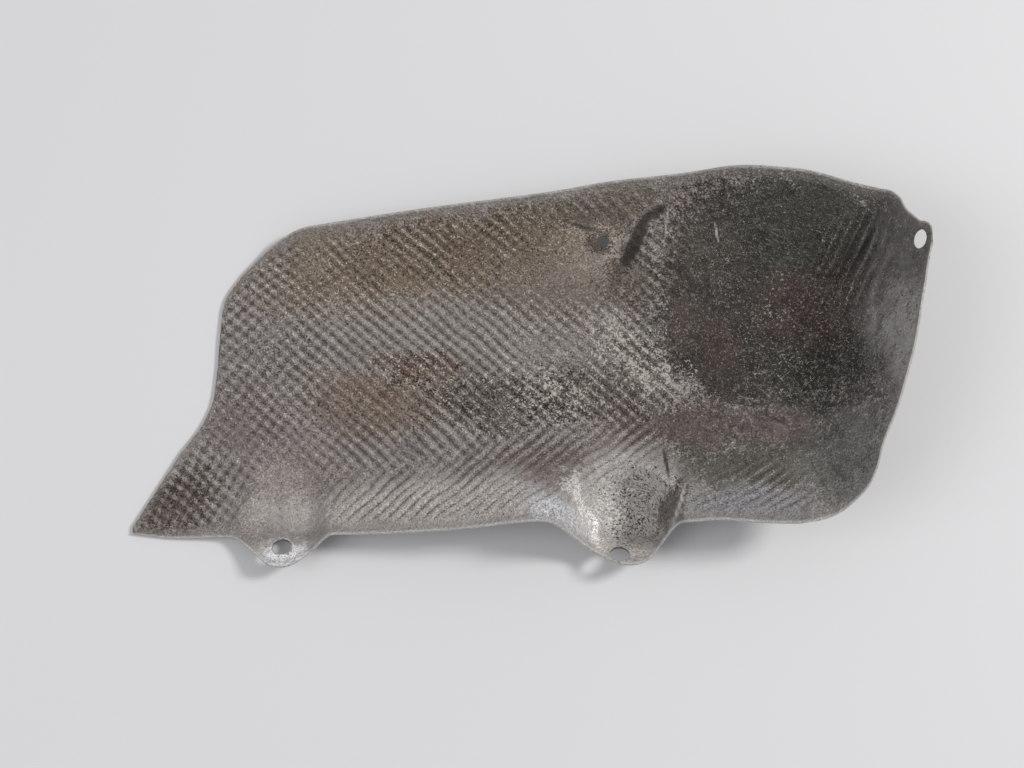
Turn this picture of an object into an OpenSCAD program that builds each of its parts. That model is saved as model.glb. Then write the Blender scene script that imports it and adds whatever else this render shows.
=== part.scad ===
// Heat shield pressed from one embossed aluminium sheet, open side up.
// X runs along the shield, Y across it and Z up. The origin lies on the floor under the middle.

/* [Sheet] */
// Thickness of the aluminium sheet
sheet_t = 1; // [0.8:0.1:1.4]
// Length from the pointed tip to the right-hand ear
shield_len = 353.5; // [330:0.5:375]
// Width that the outline of the sheet is drawn to, without the tabs
shield_wid = 165; // [150:1:180]

/* [Embossing] */
// Spacing of the pressed dimples along and across the shield
dimple_pitch = 4.1; // [4:0.1:6]
// Height from the middle of the sheet to the top of a dimple
dimple_rise = 0.35; // [0.1:0.05:0.6]
// Plain margin left between the dimples and the cut edge
plain_margin = 4; // [2:0.5:8]

/* [Panel and lips] */
// Height of the panel at its left end
panel_low = 0.6; // [0.4:0.1:3]
// Height of the panel where it meets the bowl
panel_high = 18; // [12:0.5:24]
// Width of the lip along the top edge
top_lip_w = 14; // [10:0.5:20]
// Steepness of the top lip, rise over run
top_lip_slope = 0.55; // [0.3:0.05:1]
// Width of the lip along the bottom edge at the left, and next to the bowl
bottom_lip_w_left = 27; // [20:1:36]
bottom_lip_w_right = 42; // [30:1:48]
// Steepness of the bottom lip, rise over run
bottom_lip_slope = 0.45; // [0.2:0.05:0.6]
// Run over which each lip bends out of the panel
lip_bend = 10; // [6:0.5:14]

/* [Bowl] */
// Depth of the bowl below the panel
bowl_depth = 18; // [10:0.5:22]
// Distance from the middle of the shield to the deepest point of the bowl
bowl_x = 113; // [106:1:118]
// Height of the deepest point above the middle line
bowl_y = 30; // [24:1:34]
// Reach of the bowl along the shield, from its deepest point
bowl_reach_x = 56; // [45:1:62]
// Reach of the bowl across the shield, from its deepest point
bowl_reach_y = 60; // [45:1:66]
// Width of the wall that closes the bowl along the top edge
top_wall_w = 42; // [30:1:50]
// Steepness of the wall that closes the bowl along the top edge, rise over run
top_wall_slope = 0.75; // [0.4:0.05:1]
// Width of the wall that closes the bowl at the right-hand edge
end_wall_w = 30; // [22:1:36]
// Steepness of the wall at the right-hand edge, rise over run
end_wall_slope = 1.8; // [1:0.05:2]
// Run over which the wall at the right-hand edge bends up
end_wall_bend = 16; // [10:0.5:20]
// Steepness of that wall at the lower right corner, as a share of the rest
corner_wall_share = 0.62; // [0.4:0.02:1]

/* [Tabs and their holes] */
// Diameter of the bolt hole in each ear and in the lug
bolt_hole_d = 8.5; // [6:0.1:9]
// Run over which the left ear and the lug bend up
tab_bend = 5; // [3:0.5:7]
// Size of the inner corner where a tab leaves the bottom edge
tab_blend = 3; // [1:0.5:5]
// Distance of the left ear from the middle of the shield
left_ear_x = 108; // [102:1:112]
// How far the middle of the left ear lies out from the bottom edge
left_ear_out = 4.7; // [3:0.1:6]
// Radius of the left ear around its hole
left_ear_r = 11; // [9:0.5:13]
// Angle of the sides of the left ear
left_ear_flank = 45; // [35:1:55]
// Angle at which the left ear turns up
left_ear_tilt = 32; // [20:1:40]
// Flat left between the hole of the left ear and its bend
left_ear_flat = 5.5; // [4:0.5:8]
// Distance of the lug from the middle of the shield
lug_x = 47; // [42:1:52]
// How far the centre of the lug's end lies out from the bottom edge
lug_out = 6.8; // [5:0.1:8]
// Radius of the end of the lug
lug_r = 13; // [11:0.5:14]
// Angles of the left side and the right side of the lug
lug_left_flank = 36; // [30:1:50]
lug_right_flank = 62; // [50:1:65]
// How far the lug's hole lies out from the centre of its end, and to the left of it
lug_hole_out = 6.5; // [4:0.5:7]
lug_hole_left = 4; // [0:0.5:5]
// Angle at which the lug turns up
lug_tilt = 40; // [30:1:45]
// Flat left between the hole of the lug and its bend
lug_flat = 6.5; // [4:0.5:8]
// Radius of the right ear around its hole
right_ear_r = 8; // [7:0.25:9.5]
// Height of the right ear above the middle line
right_ear_y = 50; // [44:1:54]
// Angle at which the right ear stands up on the end wall
right_ear_tilt = 60; // [50:1:64]

/* [Pressed seats] */
// Rise of the left ear's seat over the low end of the panel
left_seat_rise = 1; // [0:0.5:3]
// Length of the left ear's seat, from its bend into the panel
left_seat_len = 14; // [8:1:20]
// Width of the wall around the left ear's seat
left_seat_wall = 11; // [8:1:16]
// Rise of the lug's seat over the low end of the panel
lug_seat_rise = 4; // [2:0.5:6]
// Length of the lug's seat, from its bend into the panel
lug_seat_len = 4; // [2:1:8]
// Steepness of the lug's seat towards the panel, rise over run
lug_seat_slope = 0.25; // [0.1:0.05:0.4]
// Width of the wall at the left of the lug's seat, and at its right
lug_left_wall = 22; // [14:1:26]
lug_right_wall = 10; // [6:0.5:12]
// Diameter of the hole in the upper pad
pad_hole_d = 5; // [3:0.1:6.5]
// Distance of the upper pad from the middle of the shield
pad_x = 37.5; // [32:0.5:42]
// How far the upper pad lies in from the top edge
pad_in = 25; // [20:1:28]
// Flat radius of the upper pad
pad_r = 8; // [6:0.5:10]
// Height of the upper pad
pad_z = 12.5; // [10:0.5:16]
// Width of the pad's wall towards the bowl, and length of its open side
pad_wall = 9; // [6:0.5:12]
pad_open_len = 32; // [20:1:40]

/* [Hidden] */
half_len = shield_len / 2;
half_wid = shield_wid / 2;
// Small distance over which the slope of the sheet is measured
step = sheet_t / 2;

// Points of the sheet's outline, as shares of half the length and half the width
TOP_EDGE = [
    [-1, -0.847], [-0.893, -0.463], [-0.808, -0.152], [-0.797, 0.1], [-0.794, 0.33], [-0.788, 0.419],
    [-0.761, 0.531], [-0.712, 0.652], [-0.644, 0.774], [-0.581, 0.831], [-0.507, 0.854], [-0.271, 0.92],
    [0.053, 0.991], [0.38, 1.075], [0.495, 1.075], [0.612, 1.056], [0.7, 1.036], [0.821, 0.971],
    [0.92, 0.91], [0.944, 0.855], [0.953, 0.809], [0.981, 0.71]
];
BOTTOM_EDGE = [
    [-1, -0.891], [-0.883, -0.914], [-0.763, -0.911], [-0.485, -0.911], [-0.359, -0.91], [-0.169, -0.896],
    [0.037, -0.861], [0.387, -0.872], [0.48, -0.859], [0.6, -0.876], [0.675, -0.879]
];
RIGHT_EDGE = [
    [0.675, -0.879], [0.735, -0.856], [0.776, -0.819], [0.809, -0.762], [0.834, -0.701], [0.851, -0.62],
    [0.868, -0.483], [0.899, -0.318], [0.927, -0.116], [0.946, 0.03], [0.971, 0.285], [0.996, 0.522]
];
// Line that the top lip and the top wall run along, past the corners that are cut away
TOP_LINE = [
    [-1, 0.76], [-0.581, 0.829], [-0.271, 0.917], [0.049, 0.987], [0.373, 1.071], [0.605, 1.06],
    [0.812, 0.98], [1, 0.93]
];
// Where each form begins and where it is full, as shares of half the length or half the width
PANEL_CLIMB = [-0.76, 0.2];
TOP_LIP_START = [-0.86, -0.55];
BOTTOM_LIP_START = [-0.95, -0.45];
BOTTOM_LIP_WIDENING = [-0.5, 0.2];
LIP_TO_WALL = [0.3, 0.62];
END_WALL_STEEPENING = [-0.95, 0.1];
CORNER_TOP = -0.65;

function ease(t) = let (u = max(0, min(1, t))) u * u * (3 - 2 * u);
function ramp(a, b, v) = ease((v - a) / (b - a));
function mix(a, b, w) = a + (b - a) * w;
function along(range, share) = ramp(range[0], range[1], share);

// Rise of a sheet that bends from flat to a steady slope
function fold(run, bend, slope) =
    run <= 0 ? 0 : run < bend ? slope * run * run / (2 * bend) : slope * (run - bend / 2);

// Smooth curve through points that are sorted along their first number
function rise_at(p, k) = (p[k + 1][1] - p[k][1]) / (p[k + 1][0] - p[k][0]);
function slope_at(p, k) =
    k == 0 ? rise_at(p, 0) : k == len(p) - 1 ? rise_at(p, k - 1) :
    let (a = rise_at(p, k - 1), b = rise_at(p, k)) a * b <= 0 ? 0 : 2 * a * b / (a + b);
function curve(p, at) =
    let (
        v = max(p[0][0], min(p[len(p) - 1][0], at)),
        inside = [for (k = [0:len(p) - 2]) if (p[k][0] <= v) k],
        k = inside[len(inside) - 1],
        w = p[k + 1][0] - p[k][0],
        t = (v - p[k][0]) / w
    )
    (1 + 2 * t) * (1 - t) * (1 - t) * p[k][1] + t * t * (3 - 2 * t) * p[k + 1][1]
    + w * t * (1 - t) * ((1 - t) * slope_at(p, k) - t * slope_at(p, k + 1));
function sized(p) = [for (q = p) [q[0] * half_len, q[1] * half_wid]];
BOTTOM_PTS = sized(BOTTOM_EDGE);
RIGHT_PTS = concat(sized(RIGHT_EDGE), [[half_len, right_ear_y]]);
// The end wall runs along the right edge above the rounded lower corner
RIGHT_LINE_PTS = [for (q = RIGHT_PTS) if (q[1] > CORNER_TOP * half_wid) [q[1], q[0]]];
TOP_PTS = concat(sized(TOP_EDGE), [[half_len, right_ear_y]]);
TOP_LINE_PTS = sized(TOP_LINE);

// Middle of each tab and of the upper pad, tied to the edge that carries it
left_ear = [-left_ear_x, curve(BOTTOM_PTS, -left_ear_x) - left_ear_out];
lug = [lug_x, curve(BOTTOM_PTS, lug_x) - lug_out];
lug_hole = lug - [lug_hole_left, lug_hole_out * cos(lug_tilt)];
upper_pad = [pad_x, curve(TOP_PTS, pad_x) - pad_in];
right_ear_w = right_ear_r * cos(right_ear_tilt);
// The last column of the sheet crosses the right ear at this angle, just short of its tip
ear_end_angle = 60;
right_ear = [half_len - right_ear_w * sin(ear_end_angle), right_ear_y];
bowl = [bowl_x, bowl_y];
// Lines where the left ear and the lug start to turn up
left_ear_bend_y = left_ear[1] + bolt_hole_d / 2 + left_ear_flat;
lug_bend_y = lug_hole[1] + bolt_hole_d / 2 + lug_flat;

// Lower edge of a round tab that is seen from above, with straight flanks
function tab_edge(x, c, r, tilt, flank) =
    let (d = abs(x - c[0]), reach = r * sin(flank))
    c[1] - cos(tilt) * (d < reach ? sqrt(r * r - d * d) : r / cos(flank) - d * tan(flank));
function softer_min(a, b, k) = min(a, b) - pow(max(k - abs(a - b), 0), 2) / (4 * k);

// The bottom edge with its rounded corner and its climb to the right ear, then with the tabs
function plain_bottom(x) = x < RIGHT_PTS[0][0] ? curve(BOTTOM_PTS, x) : curve(RIGHT_PTS, x);
function right_ear_half(x) =
    let (d = (x - right_ear[0]) / right_ear_w) right_ear_r * sqrt(max(0, 1 - d * d));
function bottom_edge(x) =
    let (
        lug_flank = x < lug[0] ? lug_left_flank : lug_right_flank,
        ear_side = tab_edge(x, left_ear, left_ear_r, left_ear_tilt, left_ear_flank),
        lug_side = tab_edge(x, lug, lug_r, lug_tilt, lug_flank)
    )
    x > right_ear[0] ? min(plain_bottom(x), right_ear[1] - right_ear_half(x)) :
    softer_min(softer_min(plain_bottom(x), ear_side, tab_blend), lug_side, tab_blend);
function top_edge(x) = x > right_ear[0] ? right_ear[1] + right_ear_half(x) : curve(TOP_PTS, x);

// How high the sheet stands along the shield, without its lips
function panel_z(x) =
    let (share = (x / half_len - PANEL_CLIMB[0]) / (PANEL_CLIMB[1] - PANEL_CLIMB[0]))
    mix(panel_low, panel_high, max(0, min(1, share)));
function bowl_drop(x, y) =
    bowl_depth * (1 - ease(norm([(x - bowl[0]) / bowl_reach_x, (y - bowl[1]) / bowl_reach_y])));
function top_rise(x, y) =
    let (
        wall = along(LIP_TO_WALL, x / half_len),
        run = mix(top_lip_w, top_wall_w, wall) - (curve(TOP_LINE_PTS, x) - y)
    )
    fold(run, mix(lip_bend, 2 * lip_bend, wall), mix(top_lip_slope, top_wall_slope, wall))
    * along(TOP_LIP_START, x / half_len);
function bottom_rise(x, y) =
    let (
        width = mix(bottom_lip_w_left, bottom_lip_w_right, along(BOTTOM_LIP_WIDENING, x / half_len)),
        run = width - (y - curve(BOTTOM_PTS, x))
    )
    fold(run, lip_bend, bottom_lip_slope) * along(BOTTOM_LIP_START, x / half_len);
function end_rise(x, y) =
    fold(end_wall_w - (curve(RIGHT_LINE_PTS, y) - x), end_wall_bend, end_wall_slope)
    * mix(corner_wall_share, 1, along(END_WALL_STEEPENING, y / half_wid));
function formed_z(x, y) =
    sheet_t + panel_z(x) - bowl_drop(x, y)
    + norm([top_rise(x, y), bottom_rise(x, y), end_rise(x, y)]);

// Share of each pressed seat at a point: 1 on its flat, 0 outside its walls
function seat_share(flat, wall, distance) = 1 - ramp(flat, flat + wall, distance);
function left_seat(x, y) =
    seat_share(left_ear_r, left_seat_wall,
        norm([x - left_ear[0], max(0, y - left_ear_bend_y - left_seat_len)]));
function lug_seat(x, y) =
    let (wall = mix(lug_right_wall, lug_left_wall, ramp(-lug_r, lug_r, lug[0] - x)))
    seat_share(lug_r, wall, norm([x - lug[0], max(0, y - lug_bend_y - lug_seat_len)]));
// The upper pad is walled towards the bowl and the top edge, and open down to the left
open_way = [-cos(37), -sin(37)];
function pad_seat(x, y) =
    let (
        out = [x, y] - upper_pad,
        openness = ramp(-0.2, 1, out * open_way / max(norm(out), step))
    )
    seat_share(pad_r, mix(pad_wall, pad_open_len, openness), norm(out));
// The right ear takes over from the end wall between these multiples of its own half width
EAR_BLEND = [1.1, 2.8];
function right_seat(x, y) =
    1 - along(EAR_BLEND, norm([(x - right_ear[0]) / right_ear_w, (y - right_ear[1]) / right_ear_r]));
function left_seat_height(y) =
    sheet_t + panel_low + left_seat_rise + fold(left_ear_bend_y - y, tab_bend, tan(left_ear_tilt));
function lug_seat_height(y) =
    sheet_t + panel_low + lug_seat_rise + fold(lug_bend_y - y, tab_bend, tan(lug_tilt))
    + fold(y - lug_bend_y, 2 * tab_bend, lug_seat_slope);
right_ear_z = formed_z(right_ear[0], right_ear[1]);

// Height of the inner face of the sheet, before the dimples are pressed in
function smooth_z(x, y) =
    let (
        with_pad = mix(formed_z(x, y), sheet_t + pad_z, pad_seat(x, y)),
        with_left = mix(with_pad, left_seat_height(y), left_seat(x, y)),
        with_lug = mix(with_left, lug_seat_height(y), lug_seat(x, y))
    )
    mix(with_lug, right_ear_z + tan(right_ear_tilt) * (x - right_ear[0]), right_seat(x, y));

// How strongly the dimples show: not near an edge, on a seat or up the end wall
function dimple_share(x, y, lo, hi) =
    ramp(plain_margin / 2, 3 * plain_margin / 2, min(y - lo, hi - y))
    * (1 - pad_seat(x, y)) * (1 - left_seat(x, y)) * (1 - lug_seat(x, y))
    * (1 - ramp(0, end_wall_w, end_rise(x, y)));
first_column = -half_len + dimple_pitch / 2;
function dimple(x, y) =
    dimple_rise * cos(180 * (x - first_column) / dimple_pitch) * cos(180 * y / dimple_pitch);

// The sheet is laid out in columns across the shield, each with its own rows of points
EAR_ANGLES = [-75, -50, -25, 0, 20, 40, ear_end_angle];
ear_columns = [for (a = EAR_ANGLES) right_ear[0] + right_ear_w * sin(a)];
plain_columns = [for (x = [first_column : dimple_pitch : ear_columns[0] - dimple_pitch / 2]) x];
columns = concat([-half_len], plain_columns, ear_columns);
// The end wall is plain, so its rows can lie further apart
wall_start = half_len - end_wall_w / 2;
function row_gap(x) = x < wall_start ? dimple_pitch : 3 * dimple_pitch / 2;
function rows(x) =
    let (
        lo = bottom_edge(x),
        hi = top_edge(x),
        gap = row_gap(x),
        first = ceil((lo + gap / 2) / gap),
        last = floor((hi - gap / 2) / gap)
    )
    concat([lo], [for (j = [first : 1 : last]) j * gap], [hi]);
grid = [for (x = columns) rows(x)];
last_column = len(columns) - 1;
starts = [for (i = 0, s = 0; i <= last_column; s = s + len(grid[i]), i = i + 1) s];
point_count = starts[last_column] + len(grid[last_column]);

function inner_point(x, y, lo, hi) = [x, y, smooth_z(x, y) + dimple(x, y) * dimple_share(x, y, lo, hi)];
function sheet_normal(x, y) =
    let (
        dx = (smooth_z(x + step, y) - smooth_z(x - step, y)) / (2 * step),
        dy = (smooth_z(x, y + step) - smooth_z(x, y - step)) / (2 * step)
    )
    [-dx, -dy, 1] / norm([dx, dy, 1]);
inner = [
    for (i = [0:last_column]) let (r = grid[i])
        for (y = r) inner_point(columns[i], y, r[0], r[len(r) - 1])
];
outer = [for (q = inner) q - sheet_t * sheet_normal(q[0], q[1])];

// Triangles between two neighbouring columns, taken in order of height up the columns
function middles(r) = [for (k = [0:len(r) - 2]) (r[k] + r[k + 1]) / 2];
function below(v, list) = len([for (m = list) if (m < v) 1]);
function up_to(v, list) = len([for (m = list) if (m <= v) 1]);
function strip(i) =
    let (a = middles(grid[i]), b = middles(grid[i + 1]), s = starts[i], n = starts[i + 1])
    concat(
        [for (k = [0:len(a) - 1]) [s + k, s + k + 1, n + below(a[k], b)]],
        [for (k = [0:len(b) - 1]) [s + up_to(b[k], a), n + k + 1, n + k]]
    );
function turned(faces) = [for (f = faces) [f[2], f[1], f[0]] + [point_count, point_count, point_count]];
// The two triangles of the cut edge between two points of the rim
function rim(a, b) = [[a, b, b + point_count], [a, b + point_count, a + point_count]];
function top_of(i) = starts[i] + len(grid[i]) - 1;

module pressed_sheet() {
    inner_faces = [for (i = [0:last_column - 1]) each strip(i)];
    cut_edge = concat(
        [for (i = [0:last_column - 1]) each rim(starts[i], starts[i + 1])],
        [for (i = [0:last_column - 1]) each rim(top_of(i + 1), top_of(i))],
        [for (k = [0:len(grid[0]) - 2]) each rim(k + 1, k)],
        [for (k = [starts[last_column] : point_count - 2]) each rim(k, k + 1)]
    );
    polyhedron(points = concat(inner, outer), faces = concat(inner_faces, turned(inner_faces), cut_edge));
}

// A hole square to the sheet at a point
module hole(at, z, turn, d) {
    translate([at[0], at[1], z]) rotate(turn) cylinder(h = 6 * sheet_t, d = d, center = true, $fn = 48);
}

module heat_shield() {
    color([0.55, 0.53, 0.5])
    difference() {
        pressed_sheet();
        hole(left_ear, left_seat_height(left_ear[1]), [-left_ear_tilt, 0, 0], bolt_hole_d);
        hole(lug_hole, lug_seat_height(lug_hole[1]), [-lug_tilt, 0, 0], bolt_hole_d);
        hole(upper_pad, sheet_t + pad_z, [0, 0, 0], pad_hole_d);
        hole(right_ear, right_ear_z, [0, -right_ear_tilt, 0], bolt_hole_d);
    }
}

heat_shield();
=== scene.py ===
# %% [markdown]
# # A used heat shield, pressed from one embossed aluminium sheet
# The real part sits over hot pipes in an engine bay. A flat sheet is first rolled between two
# patterned rollers, which press rows of small dimples into it and make it stiff. A press then
# gives it its form: a long panel with lips, a deep bowl at one end, and four places to bolt it on.
# The CAD model gives every size, so this script loads it first.

# %% Load the CAD frame
from math import cos, radians, sin

import bmesh
import bpy
import numpy as np
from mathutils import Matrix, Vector


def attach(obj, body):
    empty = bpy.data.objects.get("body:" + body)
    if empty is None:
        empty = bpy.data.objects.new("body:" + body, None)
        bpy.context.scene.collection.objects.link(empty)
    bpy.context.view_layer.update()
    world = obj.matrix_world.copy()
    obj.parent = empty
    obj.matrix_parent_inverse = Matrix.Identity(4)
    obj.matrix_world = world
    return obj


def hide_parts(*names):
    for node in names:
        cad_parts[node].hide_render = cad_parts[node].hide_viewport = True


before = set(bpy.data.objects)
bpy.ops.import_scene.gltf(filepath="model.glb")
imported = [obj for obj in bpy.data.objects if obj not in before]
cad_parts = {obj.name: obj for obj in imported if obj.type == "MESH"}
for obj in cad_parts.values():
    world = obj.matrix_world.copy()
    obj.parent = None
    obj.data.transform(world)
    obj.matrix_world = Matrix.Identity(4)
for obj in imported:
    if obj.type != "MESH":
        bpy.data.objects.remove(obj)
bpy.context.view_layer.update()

# %% [markdown]
# ## Camera
# The photograph looks down on the shield from 78 degrees, 0.7 m away, with the bolt holes about
# 19 pixels wide. A camera can be aimed by hand or by a constraint. Here it is placed by numbers:
# it stands back from a target point along its own line of sight, so that the angle, the distance
# and the lens can each be changed by itself.

# %% Place the camera
LOOK_DOWN = radians(78)
CAMERA_DISTANCE = 0.70
LENS_MM = 54.7
target = Vector((-0.00485, -0.008, 0.020))

camera_data = bpy.data.cameras.new("camera")
camera_data.lens = LENS_MM
camera_data.clip_start = 0.01
camera = bpy.data.objects.new("camera", camera_data)
camera.location = target + CAMERA_DISTANCE * Vector((0, -cos(LOOK_DOWN), sin(LOOK_DOWN)))
camera.rotation_euler = (radians(90) - LOOK_DOWN, 0, 0)
bpy.context.scene.collection.objects.link(camera)
bpy.context.scene.camera = camera
print("camera at", [round(v, 3) for v in camera.location])

# %% [markdown]
# ## Sizes of the sheet
# A pressed sheet could be sculpted, or modelled with a subdivision surface over a rough cage.
# But the CAD model already describes this one by a handful of bends, each with a width and a
# steepness. Writing the same bends here as functions of a place on the sheet gives a fine mesh
# that agrees with the CAD model everywhere, and leaves the dimples to be added at their real size.
# All lengths in this part are millimetres.

# %% Name the sizes
SHEET = 1.0
LENGTH, WIDTH = 353.5, 165.0
HALF_LENGTH, HALF_WIDTH = LENGTH / 2, WIDTH / 2
PANEL_LOW, PANEL_HIGH = 0.6, 18.0
TOP_LIP_WIDTH, TOP_LIP_SLOPE = 14.0, 0.55
BOTTOM_LIP_LEFT, BOTTOM_LIP_RIGHT, BOTTOM_LIP_SLOPE = 27.0, 42.0, 0.45
LIP_BEND = 10.0
BOWL, BOWL_DEPTH, BOWL_REACH = (113.0, 30.0), 18.0, (56.0, 60.0)
TOP_WALL_WIDTH, TOP_WALL_SLOPE = 42.0, 0.75
END_WALL_WIDTH, END_WALL_SLOPE, END_WALL_BEND, CORNER_WALL_SHARE = 30.0, 1.8, 16.0, 0.62
BOLT_HOLE, PAD_HOLE = 8.5, 5.0
TAB_BEND, TAB_BLEND = 5.0, 3.0
LEFT_EAR_RADIUS, LEFT_EAR_TILT, LEFT_EAR_FLANK, LEFT_EAR_FLAT = 11.0, radians(32), radians(45), 5.5
LUG_RADIUS, LUG_TILT, LUG_FLANKS, LUG_FLAT = 13.0, radians(40), (radians(36), radians(62)), 6.5
RIGHT_EAR_RADIUS, RIGHT_EAR_TILT, RIGHT_EAR_PLACE = 8.0, radians(60), 50.0
RIGHT_EAR_ENDS = 60  # degrees round the ear from its middle line, where the box of the part ends
LEFT_SEAT_RISE, LEFT_SEAT_LENGTH, LEFT_SEAT_WALL = 1.0, 14.0, 11.0
LUG_SEAT_RISE, LUG_SEAT_LENGTH, LUG_SEAT_SLOPE, LUG_WALLS = 4.0, 4.0, 0.25, (22.0, 10.0)
PAD_RADIUS, PAD_HEIGHT, PAD_WALL, PAD_OPEN_LENGTH = 8.0, 12.5, 9.0, 32.0
PAD_OPENS = radians(37)  # down and to the left, below the x axis

# Outline points as shares of half the length and half the width
EAR_END = [1, RIGHT_EAR_PLACE / HALF_WIDTH]
TOP_EDGE = [
    [-1, -0.847], [-0.893, -0.463], [-0.808, -0.152], [-0.797, 0.1], [-0.794, 0.33], [-0.788, 0.419],
    [-0.761, 0.531], [-0.712, 0.652], [-0.644, 0.774], [-0.581, 0.831], [-0.507, 0.854], [-0.271, 0.92],
    [0.053, 0.991], [0.38, 1.075], [0.495, 1.075], [0.612, 1.056], [0.7, 1.036], [0.821, 0.971],
    [0.92, 0.91], [0.944, 0.855], [0.953, 0.809], [0.981, 0.71], EAR_END,
]
BOTTOM_EDGE = [
    [-1, -0.891], [-0.883, -0.914], [-0.763, -0.911], [-0.485, -0.911], [-0.359, -0.91], [-0.169, -0.896],
    [0.037, -0.861], [0.387, -0.872], [0.48, -0.859], [0.6, -0.876], [0.675, -0.879],
]
RIGHT_EDGE = [
    [0.675, -0.879], [0.735, -0.856], [0.776, -0.819], [0.809, -0.762], [0.834, -0.701], [0.851, -0.62],
    [0.868, -0.483], [0.899, -0.318], [0.927, -0.116], [0.946, 0.03], [0.971, 0.285], [0.996, 0.522],
    EAR_END,
]
TOP_LINE = [
    [-1, 0.76], [-0.581, 0.829], [-0.271, 0.917], [0.049, 0.987], [0.373, 1.071], [0.605, 1.06],
    [0.812, 0.98], [1, 0.93],
]
RIGHT_LINE = [[y, x] for x, y in RIGHT_EDGE if y > -0.65]
print("outline points:", len(TOP_EDGE) + len(BOTTOM_EDGE) + len(RIGHT_EDGE))

# %% [markdown]
# ## Bends and curves
# Every form on the sheet is made from two shapes. `ramp` goes smoothly from 0 to 1 and back to
# flat, as the wall of a pressed seat does. `fold` stays flat, bends, and then climbs at a steady
# slope, as a lip does. `smooth_curve` draws the outline through its points without overshooting.

# %% Make the bend and curve helpers
def ramp(start, end, value):
    share = np.clip((value - start) / (end - start), 0, 1)
    return share * share * (3 - 2 * share)


def blend(a, b, share):
    return a + (b - a) * share


def fold(run, bend, slope):
    return slope * np.where(run <= 0, 0, np.where(run < bend, run * run / (2 * bend), run - bend / 2))


def smooth_curve(points, at, across=(HALF_LENGTH, HALF_WIDTH)):
    p = np.array(points, float) * across
    rise = np.diff(p[:, 1]) / np.diff(p[:, 0])
    before, after = rise[:-1], rise[1:]
    both = np.where(before + after == 0, 1, before + after)
    middle = np.where(before * after <= 0, 0, 2 * before * after / both)
    slope = np.concatenate([rise[:1], middle, rise[-1:]])
    at = np.clip(np.asarray(at, float), p[0, 0], p[-1, 0])
    k = np.clip(np.searchsorted(p[:, 0], at, side="right") - 1, 0, len(p) - 2)
    width = p[k + 1, 0] - p[k, 0]
    t = (at - p[k, 0]) / width
    ends = (1 + 2 * t) * (1 - t) ** 2 * p[k, 1] + t * t * (3 - 2 * t) * p[k + 1, 1]
    return ends + width * t * (1 - t) * ((1 - t) * slope[k] - t * slope[k + 1])


print("half way up a ramp:", float(ramp(0, 1, 0.5)))

# %% [markdown]
# ## Outline
# The real outline is cut after pressing. It has an ear at the left of the lower edge, a wider lug
# in the middle, and an ear on top of the right-hand wall. Each tab is a round end with two
# straight sides, and a small rounded inner corner where it leaves the edge.

# %% Describe the outline
left_ear = np.array([-108.0, float(smooth_curve(BOTTOM_EDGE, -108.0)) - 4.7])
lug = np.array([47.0, float(smooth_curve(BOTTOM_EDGE, 47.0)) - 6.8])
lug_hole = lug - [4.0, 6.5 * cos(LUG_TILT)]
upper_pad = np.array([37.5, float(smooth_curve(TOP_EDGE, 37.5)) - 25.0])
RIGHT_EAR_WIDTH = RIGHT_EAR_RADIUS * cos(RIGHT_EAR_TILT)
right_ear_x = HALF_LENGTH - RIGHT_EAR_WIDTH * sin(radians(RIGHT_EAR_ENDS))
right_ear = np.array([right_ear_x, RIGHT_EAR_PLACE])
left_ear_bend = left_ear[1] + BOLT_HOLE / 2 + LEFT_EAR_FLAT
lug_bend = lug_hole[1] + BOLT_HOLE / 2 + LUG_FLAT


def tab_edge(x, centre, radius, tilt, flank):
    away = np.abs(x - centre[0])
    arc = np.sqrt(np.maximum(radius**2 - away**2, 0))
    side = radius / np.cos(flank) - away * np.tan(flank)
    return centre[1] - cos(tilt) * np.where(away < radius * np.sin(flank), arc, side)


def softer_minimum(a, b, size):
    return np.minimum(a, b) - np.maximum(size - np.abs(a - b), 0) ** 2 / (4 * size)


def right_ear_half(x):
    return RIGHT_EAR_RADIUS * np.sqrt(np.maximum(0, 1 - ((x - right_ear[0]) / RIGHT_EAR_WIDTH) ** 2))


def bottom_edge(x):
    edge_ends = RIGHT_EDGE[0][0] * HALF_LENGTH
    plain = np.where(x < edge_ends, smooth_curve(BOTTOM_EDGE, x), smooth_curve(RIGHT_EDGE, x))
    ear_side = tab_edge(x, left_ear, LEFT_EAR_RADIUS, LEFT_EAR_TILT, LEFT_EAR_FLANK)
    lug_side = tab_edge(x, lug, LUG_RADIUS, LUG_TILT, np.where(x < lug[0], *LUG_FLANKS))
    tabs = softer_minimum(softer_minimum(plain, ear_side, TAB_BLEND), lug_side, TAB_BLEND)
    return np.where(x > right_ear[0], np.minimum(plain, right_ear[1] - right_ear_half(x)), tabs)


def top_edge(x):
    return np.where(x > right_ear[0], right_ear[1] + right_ear_half(x), smooth_curve(TOP_EDGE, x))


print("ear, lug, pad and ear:", [np.round(p, 1).tolist() for p in (left_ear, lug, upper_pad, right_ear)])

# %% [markdown]
# ## Pressed form
# The panel climbs towards the bowl, the bowl sinks below it, and lips and walls rise along the
# edges. Where two rises meet at a corner they are joined like the sides of a right angle, which
# rounds the corner as a press tool does. The seats of the bolts are flats that the form blends to.

# %% Describe the pressed form
def panel_height(x):
    return blend(PANEL_LOW, PANEL_HIGH, np.clip((x / HALF_LENGTH + 0.76) / 0.96, 0, 1))


def bowl_drop(x, y):
    away = np.hypot((x - BOWL[0]) / BOWL_REACH[0], (y - BOWL[1]) / BOWL_REACH[1])
    return BOWL_DEPTH * (1 - ramp(0, 1, away))


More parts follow.
